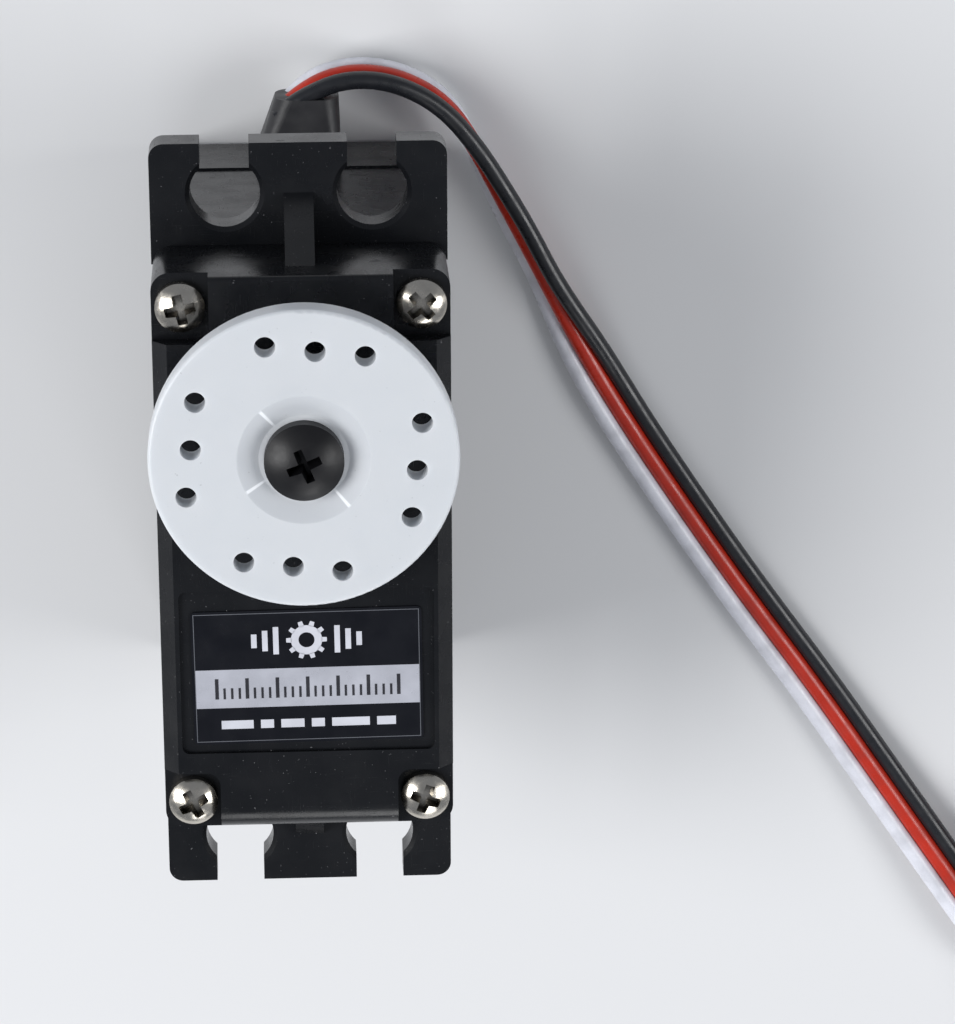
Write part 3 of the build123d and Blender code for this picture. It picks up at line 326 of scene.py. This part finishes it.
class Finish:
    """A Principled material, with short ways to give it colour, roughness and relief detail."""

    def __init__(self, name, colour, roughness, metallic=0.0, **sockets):
        self.material = bpy.data.materials.new(name)
        self.material.use_nodes = True
        self.nodes = self.material.node_tree.nodes
        self.links = self.material.node_tree.links
        self.shader = self.nodes["Principled BSDF"]
        self.shader.inputs["Base Color"].default_value = (*colour, 1)
        self.shader.inputs["Roughness"].default_value = roughness
        self.shader.inputs["Metallic"].default_value = metallic
        for socket, value in sockets.items():
            self.shader.inputs[socket.replace("_", " ")].default_value = value
        self.place = self.nodes.new("ShaderNodeTexCoord").outputs["Object"]
        self.colour = None
        self.height = None

    def node(self, kind, **inputs):
        """A node of the given kind with its inputs set or linked."""
        made = self.nodes.new(kind)
        for socket, value in inputs.items():
            target = made.inputs[socket.replace("_", " ")]
            if isinstance(value, bpy.types.NodeSocket):
                self.links.new(value, target)
            else:
                target.default_value = value
        return made

    def stretched(self, factors):
        """The object's coordinates, scaled by different factors along the three axes."""
        return self.node("ShaderNodeMapping", Vector=self.place, Scale=factors).outputs["Vector"]

    def noise(self, size, detail=3.0, stretch=(1, 1, 1)):
        """Cloudy noise from 0 to 1 with features of about the given size."""
        place = self.stretched(stretch)
        return self.node("ShaderNodeTexNoise", Vector=place, Scale=1 / size, Detail=detail).outputs["Fac"]

    def span(self, value, low, high, start=0.0, end=1.0):
        """The value between low and high, brought to the range from start to end."""
        made = self.node("ShaderNodeMapRange", Value=value)
        for socket, number in (("From Min", low), ("From Max", high), ("To Min", start), ("To Max", end)):
            made.inputs[socket].default_value = number
        return made.outputs["Result"]

    def math(self, operation, first, second):
        """One arithmetic step on two values."""
        made = self.nodes.new("ShaderNodeMath")
        made.operation = operation
        for target, value in zip(made.inputs, (first, second)):
            if isinstance(value, bpy.types.NodeSocket):
                self.links.new(value, target)
            else:
                target.default_value = value
        return made.outputs["Value"]

    def tint(self, share, colour):
        """Colour laid over what is there already, by a share that varies over the surface."""
        made = self.nodes.new("ShaderNodeMix")
        made.data_type = "RGBA"
        self.links.new(share, made.inputs["Factor"])
        if self.colour is None:
            made.inputs[6].default_value = self.shader.inputs["Base Color"].default_value
        else:
            self.links.new(self.colour, made.inputs[6])
        made.inputs[7].default_value = (*colour, 1)
        self.colour = made.outputs[2]
        self.links.new(self.colour, self.shader.inputs["Base Color"])

    def rough(self, value):
        """Roughness that varies over the surface."""
        self.links.new(value, self.shader.inputs["Roughness"])

    def raise_by(self, value, depth):
        """Relief: the value from 0 to 1 times a depth in metres, added to the relief so far."""
        step = self.math("MULTIPLY", value, depth)
        self.height = step if self.height is None else self.math("ADD", self.height, step)

    def done(self):
        """Link the relief and give back the material."""
        if self.height is not None:
            bump = self.node("ShaderNodeBump", Height=self.height, Distance=1.0)
            self.links.new(bump.outputs["Normal"], self.shader.inputs["Normal"])
        return self.material


def case_plastic():
    """Glossy black moulded plastic with faint flow marks, hairline scratches and a little dust."""
    finish = Finish("case_plastic", (0.005, 0.0056, 0.007), 0.28, Specular_IOR_Level=0.3)
    clouds = finish.noise(5 * MM, 4)
    finish.tint(finish.span(clouds, 0.4, 0.75, 0, 0.6), (0.012, 0.0125, 0.014))
    dust = finish.span(finish.noise(0.16 * MM, 1), 0.76, 0.8)
    finish.tint(dust, (0.11, 0.11, 0.115))
    scratches = finish.span(finish.noise(1.1 * MM, 2, (16, 0.7, 1)), 0.68, 0.73)
    crossing = finish.span(finish.noise(1.3 * MM, 2, (0.6, 14, 1)), 0.7, 0.74)
    marks = finish.math("MAXIMUM", scratches, crossing)
    patches = finish.span(finish.noise(2.2 * MM, 3), 0.3, 0.7, 0.2, 0.33)
    finish.rough(finish.math("ADD", patches, finish.math("MULTIPLY", marks, 0.16)))
    finish.raise_by(finish.noise(0.09 * MM, 2), 0.0022 * MM)
    finish.raise_by(finish.noise(3.5 * MM, 1), 0.012 * MM)
    finish.raise_by(marks, -0.0012 * MM)
    finish.raise_by(dust, 0.004 * MM)
    return finish.done()


def radial_place(finish, centre):
    """Distance from the vertical line through the centre, and the angle about it in radians."""
    shift = finish.node("ShaderNodeMapping", Vector=finish.place, Location=(-centre[0], -centre[1], 0))
    parts = finish.node("ShaderNodeSeparateXYZ", Vector=shift.outputs["Vector"])
    across, along = parts.outputs["X"], parts.outputs["Y"]
    across_squared = finish.math("MULTIPLY", across, across)
    along_squared = finish.math("MULTIPLY", along, along)
    squares = finish.math("ADD", across_squared, along_squared)
    return finish.math("POWER", squares, 0.5), finish.math("ARCTAN2", along, across)


HORN_RIB_HIGHLIGHTS = (130, 210, -48)


def horn_nylon(centre):
    """Satin white nylon that passes a little light, with painted shade dulling the dish round the hub,
    painted highlights on three radial ribs, and faint turning marks.
    """
    finish = Finish(
        "horn_nylon",
        (0.57, 0.59, 0.615),
        0.36,
        Subsurface_Weight=0.45,
        Subsurface_Radius=(1.0 * MM, 1.05 * MM, 1.1 * MM),
        Subsurface_Scale=1.0,
    )
    radius, angle = radial_place(finish, centre)
    inner = finish.span(radius, 2.9 * MM, 3.2 * MM)
    outer = finish.span(radius, 4.35 * MM, 4.5 * MM, 1, 0)
    dish = finish.math("MULTIPLY", inner, outer)
    # Painted shade: the conical dish round the hub is darkened in colour.
    finish.tint(finish.math("MULTIPLY", dish, 0.5), (0.46, 0.48, 0.51))
    finish.tint(finish.span(finish.noise(4 * MM, 3), 0.4, 0.8, 0, 0.35), (0.53, 0.56, 0.59))
    # Painted highlights: thin lighter radial lines stand in for the glint on three small ribs in the dish.
    for direction in HORN_RIB_HIGHLIGHTS:
        turned = finish.math("SUBTRACT", angle, math.radians(direction))
        line = finish.span(finish.math("COSINE", turned, 0), 0.9994, 0.9999)
        finish.tint(finish.math("MULTIPLY", line, dish), (0.82, 0.84, 0.87))
    specks = finish.span(finish.noise(0.25 * MM, 1), 0.77, 0.8, 0, 0.5)
    finish.tint(specks, (0.35, 0.36, 0.38))
    rings = finish.math("SINE", finish.math("MULTIPLY", radius, 1 / (0.035 * MM)), 0)
    finish.raise_by(finish.span(rings, -1, 1), 0.0007 * MM)
    finish.raise_by(finish.noise(0.12 * MM, 3), 0.003 * MM)
    finish.raise_by(finish.noise(1.6 * MM, 2), 0.008 * MM)
    finish.rough(finish.span(finish.noise(1.5 * MM, 3), 0.3, 0.7, 0.34, 0.46))
    return finish.done()


def moulded(name, colour, roughness, grain=0.1, **sockets):
    """Plain moulded plastic or rubber: slight clouds of colour and a fine grain, given in millimetres."""
    finish = Finish(name, colour, roughness, **sockets)
    lighter = tuple(channel * 1.25 + 0.004 for channel in colour)
    finish.tint(finish.span(finish.noise(2.5 * MM, 3), 0.35, 0.75, 0, 0.7), lighter)
    finish.rough(finish.span(finish.noise(1.2 * MM, 3), 0.3, 0.7, roughness - 0.06, roughness + 0.08))
    finish.raise_by(finish.noise(grain * MM, 3), 0.03 * grain * MM)
    return finish.done()


def insulation(name, colour, roughness=0.3):
    """Soft vinyl: a waxy surface with long faint ripples and handling marks."""
    finish = Finish(name, colour, roughness, Subsurface_Weight=0.05, Subsurface_Radius=(0.3 * MM,) * 3)
    darker = tuple(channel * 0.72 for channel in colour)
    finish.tint(finish.span(finish.noise(1.8 * MM, 4), 0.45, 0.75, 0, 0.8), darker)
    finish.rough(finish.span(finish.noise(0.9 * MM, 3), 0.3, 0.7, roughness - 0.07, roughness + 0.1))
    finish.raise_by(finish.noise(0.12 * MM, 3), 0.003 * MM)
    finish.raise_by(finish.noise(2.4 * MM, 2), 0.02 * MM)
    return finish.done()


def metal(name, colour, roughness, grain=(1, 1, 1), tarnish=(0.3, 0.28, 0.25)):
    """Metal with a drawn or plated grain, small pits and a little tarnish."""
    finish = Finish(name, colour, roughness, 1.0)
    finish.tint(finish.span(finish.noise(0.8 * MM, 4), 0.5, 0.8, 0, 0.45), tarnish)
    finish.rough(finish.span(finish.noise(0.5 * MM, 4, grain), 0.3, 0.7, roughness * 0.75, roughness * 1.5))
    finish.raise_by(finish.noise(0.07 * MM, 3, grain), 0.0015 * MM)
    finish.raise_by(finish.noise(0.6 * MM, 2), 0.006 * MM)
    return finish.done()


def plated_screw():
    """Nickel plate, bright on the head, with painted shade that darkens the cross recess."""
    finish = Finish("screw_nickel", (0.62, 0.58, 0.51), 0.2, 1.0)
    finish.tint(finish.span(finish.noise(0.8 * MM, 4), 0.5, 0.8, 0, 0.4), (0.34, 0.31, 0.26))
    # Painted shade: ambient occlusion darkens the cross recess almost to black.
    recess_painted_shade = finish.node("ShaderNodeAmbientOcclusion", Distance=0.7 * MM).outputs["AO"]
    finish.tint(finish.span(recess_painted_shade, 0.25, 0.85, 0.92, 0), (0.05, 0.045, 0.04))
    finish.rough(finish.span(finish.noise(0.5 * MM, 4), 0.3, 0.7, 0.16, 0.3))
    finish.raise_by(finish.noise(0.07 * MM, 3), 0.0015 * MM)
    finish.raise_by(finish.noise(0.6 * MM, 2), 0.006 * MM)
    return finish.done()


def board_laminate():
    """Green solder resist over copper tracks that run along and across the board."""
    finish = Finish("board_laminate", (0.015, 0.11, 0.045), 0.35)
    along = finish.span(finish.noise(0.9 * MM, 0, (1, 0.12, 1)), 0.52, 0.54)
    across = finish.span(finish.noise(1.1 * MM, 0, (0.15, 1, 1)), 0.56, 0.58)
    tracks = finish.math("MAXIMUM", along, across)
    finish.tint(tracks, (0.04, 0.22, 0.09))
    finish.raise_by(tracks, 0.02 * MM)
    finish.raise_by(finish.noise(0.2 * MM, 2), 0.002 * MM)
    return finish.done()


def winding_copper():
    """Enamelled copper wire laid in tight turns along the shaft."""
    finish = Finish("winding_copper", (0.6, 0.22, 0.08), 0.25, 1.0)
    parts = finish.node("ShaderNodeSeparateXYZ", Vector=finish.place)
    turns = finish.math("SINE", finish.math("MULTIPLY", parts.outputs["X"], 1 / (0.04 * MM)), 0)
    finish.raise_by(finish.span(turns, -1, 1), 0.05 * MM)
    finish.tint(finish.span(finish.noise(0.7 * MM, 3), 0.4, 0.7), (0.42, 0.13, 0.04))
    return finish.done()


def make_materials():
    """One finish for each of the record's material slots."""
    low, high = (Vector(corner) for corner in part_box("horn"))
    return {
        "case_black": case_plastic(),
        "label_film": moulded("label_film", (0.003, 0.0035, 0.006), 0.2, 0.3, Specular_IOR_Level=0.35),
        "screw_nickel": plated_screw(),
        "screw_black": moulded(
            "screw_black_oxide", (0.004, 0.004, 0.005), 0.42, 0.15, Specular_IOR_Level=0.3
        ),
        "horn_nylon": horn_nylon((low + high) / 2),
        "gear_nylon": moulded("gear_nylon", (0.8, 0.78, 0.7), 0.42, 0.1, Subsurface_Weight=0.1),
        "bush_bronze": metal("bush_bronze", (0.55, 0.36, 0.16), 0.45),
        "pin_steel": metal("pin_steel", (0.66, 0.66, 0.67), 0.2, (1, 1, 6)),
        "motor_steel": metal("motor_steel", (0.56, 0.57, 0.59), 0.32, (1, 1, 0.2)),
        "motor_plastic": moulded("motor_plastic", (0.03, 0.03, 0.034), 0.45),
        "magnet_ferrite": moulded("magnet_ferrite", (0.05, 0.05, 0.055), 0.6, 0.2),
        "winding_wire": winding_copper(),
        "contact_metal": metal("contact_brass", (0.78, 0.62, 0.32), 0.24, (1, 1, 4)),
        "pot_plastic": moulded("pot_plastic", (0.035, 0.035, 0.04), 0.5),
        "track_carbon": moulded("track_carbon", (0.01, 0.01, 0.011), 0.55, 0.05),
        "board_laminate": board_laminate(),
        "component_epoxy": moulded("component_epoxy", (0.016, 0.016, 0.018), 0.5, 0.06),
        "capacitor_can": metal("capacitor_can", (0.62, 0.63, 0.66), 0.28, (1, 1, 5)),
        "resistor_ceramic": moulded("resistor_ceramic", (0.06, 0.06, 0.07), 0.4),
        "relief_rubber": moulded("relief_rubber", (0.012, 0.012, 0.014), 0.42, 0.14),
        "lead_insulation": insulation("vinyl_black", (0.011, 0.012, 0.015)),
        "tie_plastic": moulded("tie_plastic", (0.03, 0.03, 0.034), 0.55, 0.25),
        "connector_plastic": moulded("connector_plastic", (0.012, 0.012, 0.014), 0.38),
    }


materials = make_materials()
for subpart in frame["record"]["subparts"]:
    for slot in nodes[subpart["node"]].material_slots:
        slot.material = materials[subpart["material_slot"]]


# ---------------------------------------------------------------- label print and painted edge glint

LABEL_TURN = math.radians(0.6)
LABEL_LAYER_THICKNESS = 0.015 * MM


def ring_shape(outer, inner):
    """Faces between two loops of the same number of points."""
    count = len(outer)
    return [(outer[i], outer[(i + 1) % count], inner[(i + 1) % count], inner[i]) for i in range(count)]


def bar(centre_x, centre_y, width, height):
    """One upright bar."""
    left, right = centre_x - width / 2, centre_x + width / 2
    low, high = centre_y - height / 2, centre_y + height / 2
    return [(left, low), (right, low), (right, high), (left, high)]


def circle_points(radius, count):
    """Points evenly round a circle about the origin."""
    steps = (2 * math.pi * step / count for step in range(count))
    return [(radius * math.cos(angle), radius * math.sin(angle)) for angle in steps]


def lay_print_or_glint(name, faces, material, lift=0.0):
    """A thin closed print or painted glint on the label, from faces in millimetres about the label's centre.
    """
    low, high = (Vector(corner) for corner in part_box("label"))
    middle = (low + high) / 2
    shape = bmesh.new()
    for face in faces:
        shape.faces.new([shape.verts.new((x * MM, y * MM, 0)) for x, y in face])
    bmesh.ops.remove_doubles(shape, verts=shape.verts, dist=0.0005 * MM)
    top = bmesh.ops.extrude_face_region(shape, geom=shape.faces[:])
    raised = [item for item in top["geom"] if isinstance(item, bmesh.types.BMVert)]
    bmesh.ops.translate(shape, verts=raised, vec=(0, 0, LABEL_LAYER_THICKNESS + lift))
    bmesh.ops.recalc_face_normals(shape, faces=shape.faces)
    mesh = bpy.data.meshes.new(name)
    shape.to_mesh(mesh)
    shape.free()
    mesh.materials.append(material)
    label_layer = bpy.data.objects.new(name, mesh)
    bpy.context.scene.collection.objects.link(label_layer)
    label_layer.location = (middle.x, middle.y, high.z)
    label_layer.rotation_euler.z = LABEL_TURN
    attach(label_layer, "case")


def make_label_print_and_glint():
    """Generic print: a silver band with a scale of ticks, a plain gear sign and dashes, and a thin outline
    that is a painted highlight for the glint on the film's edge.
    """
    silver = moulded("silver_ink", (0.42, 0.43, 0.48), 0.3, 0.08, Metallic=0.25)
    light = moulded("light_ink", (0.5, 0.51, 0.56), 0.35, 0.08)
    dark = moulded("dark_ink", (0.02, 0.02, 0.025), 0.3, 0.08)
    grey = moulded("edge_glint_paint", (0.1, 0.105, 0.12), 0.3, 0.08)
    half_x, half_y = 7.72, 4.7
    line = 0.05
    outer = [(-half_x, -half_y), (half_x, -half_y), (half_x, half_y), (-half_x, half_y)]
    inner = [(x - math.copysign(line, x), y - math.copysign(line, y)) for x, y in outer]
    # Painted highlight: the thin outline round the label stands in for the glint on the film's edge.
    lay_print_or_glint("label_edge_glint", ring_shape(outer, inner), grey)
    band_low, band_high = -2.2, 0.62
    band_middle = (band_low + band_high) / 2
    lay_print_or_glint("label_band", [bar(0, band_middle, 2 * (half_x - line), band_high - band_low)], silver)
    ticks = []
    for step in range(-12, 13):
        tall = 1.5 if step % 4 == 0 else 0.8
        ticks.append(bar(step * 0.52, band_middle - (1.5 - tall) / 2, 0.16 if step % 4 else 0.24, tall))
    lay_print_or_glint("label_scale", ticks, dark, LABEL_LAYER_THICKNESS)
    gear = []
    teeth = 10
    for step in range(teeth):
        middle = 2 * math.pi * step / teeth
        tooth = [
            (radius * math.cos(middle + side), radius * math.sin(middle + side))
            for radius, side in ((1.05, -0.17), (1.4, -0.11), (1.4, 0.11), (1.05, 0.17))
        ]
        gear.append(tooth)
    gear += ring_shape(circle_points(1.07, 40), circle_points(0.55, 40))
    sign_y = (half_y + band_high) / 2
    sign = [[(x, y + sign_y) for x, y in face] for face in gear]
    for side in (-1, 1):
        for step in range(3):
            sign.append(bar(side * (2.1 + 0.75 * step), sign_y, 0.38, 2.0 - 0.5 * step))
    lay_print_or_glint("label_sign", sign, light)
    dashes = []
    place = -6.0
    for width in (2.2, 0.9, 1.6, 0.9, 2.6, 1.3):
        dashes.append(bar(place + width / 2, (band_low - half_y) / 2, width, 0.62))
        place += width + 0.5
    lay_print_or_glint("label_dashes", dashes, light)


# ---------------------------------------------------------------- build

make_camera()
make_stage()
make_lead(
    [
        materials["lead_insulation"],
        insulation("vinyl_red", (0.46, 0.024, 0.009)),
        insulation("vinyl_white", (0.68, 0.69, 0.75)),
    ]
)
make_label_print_and_glint()
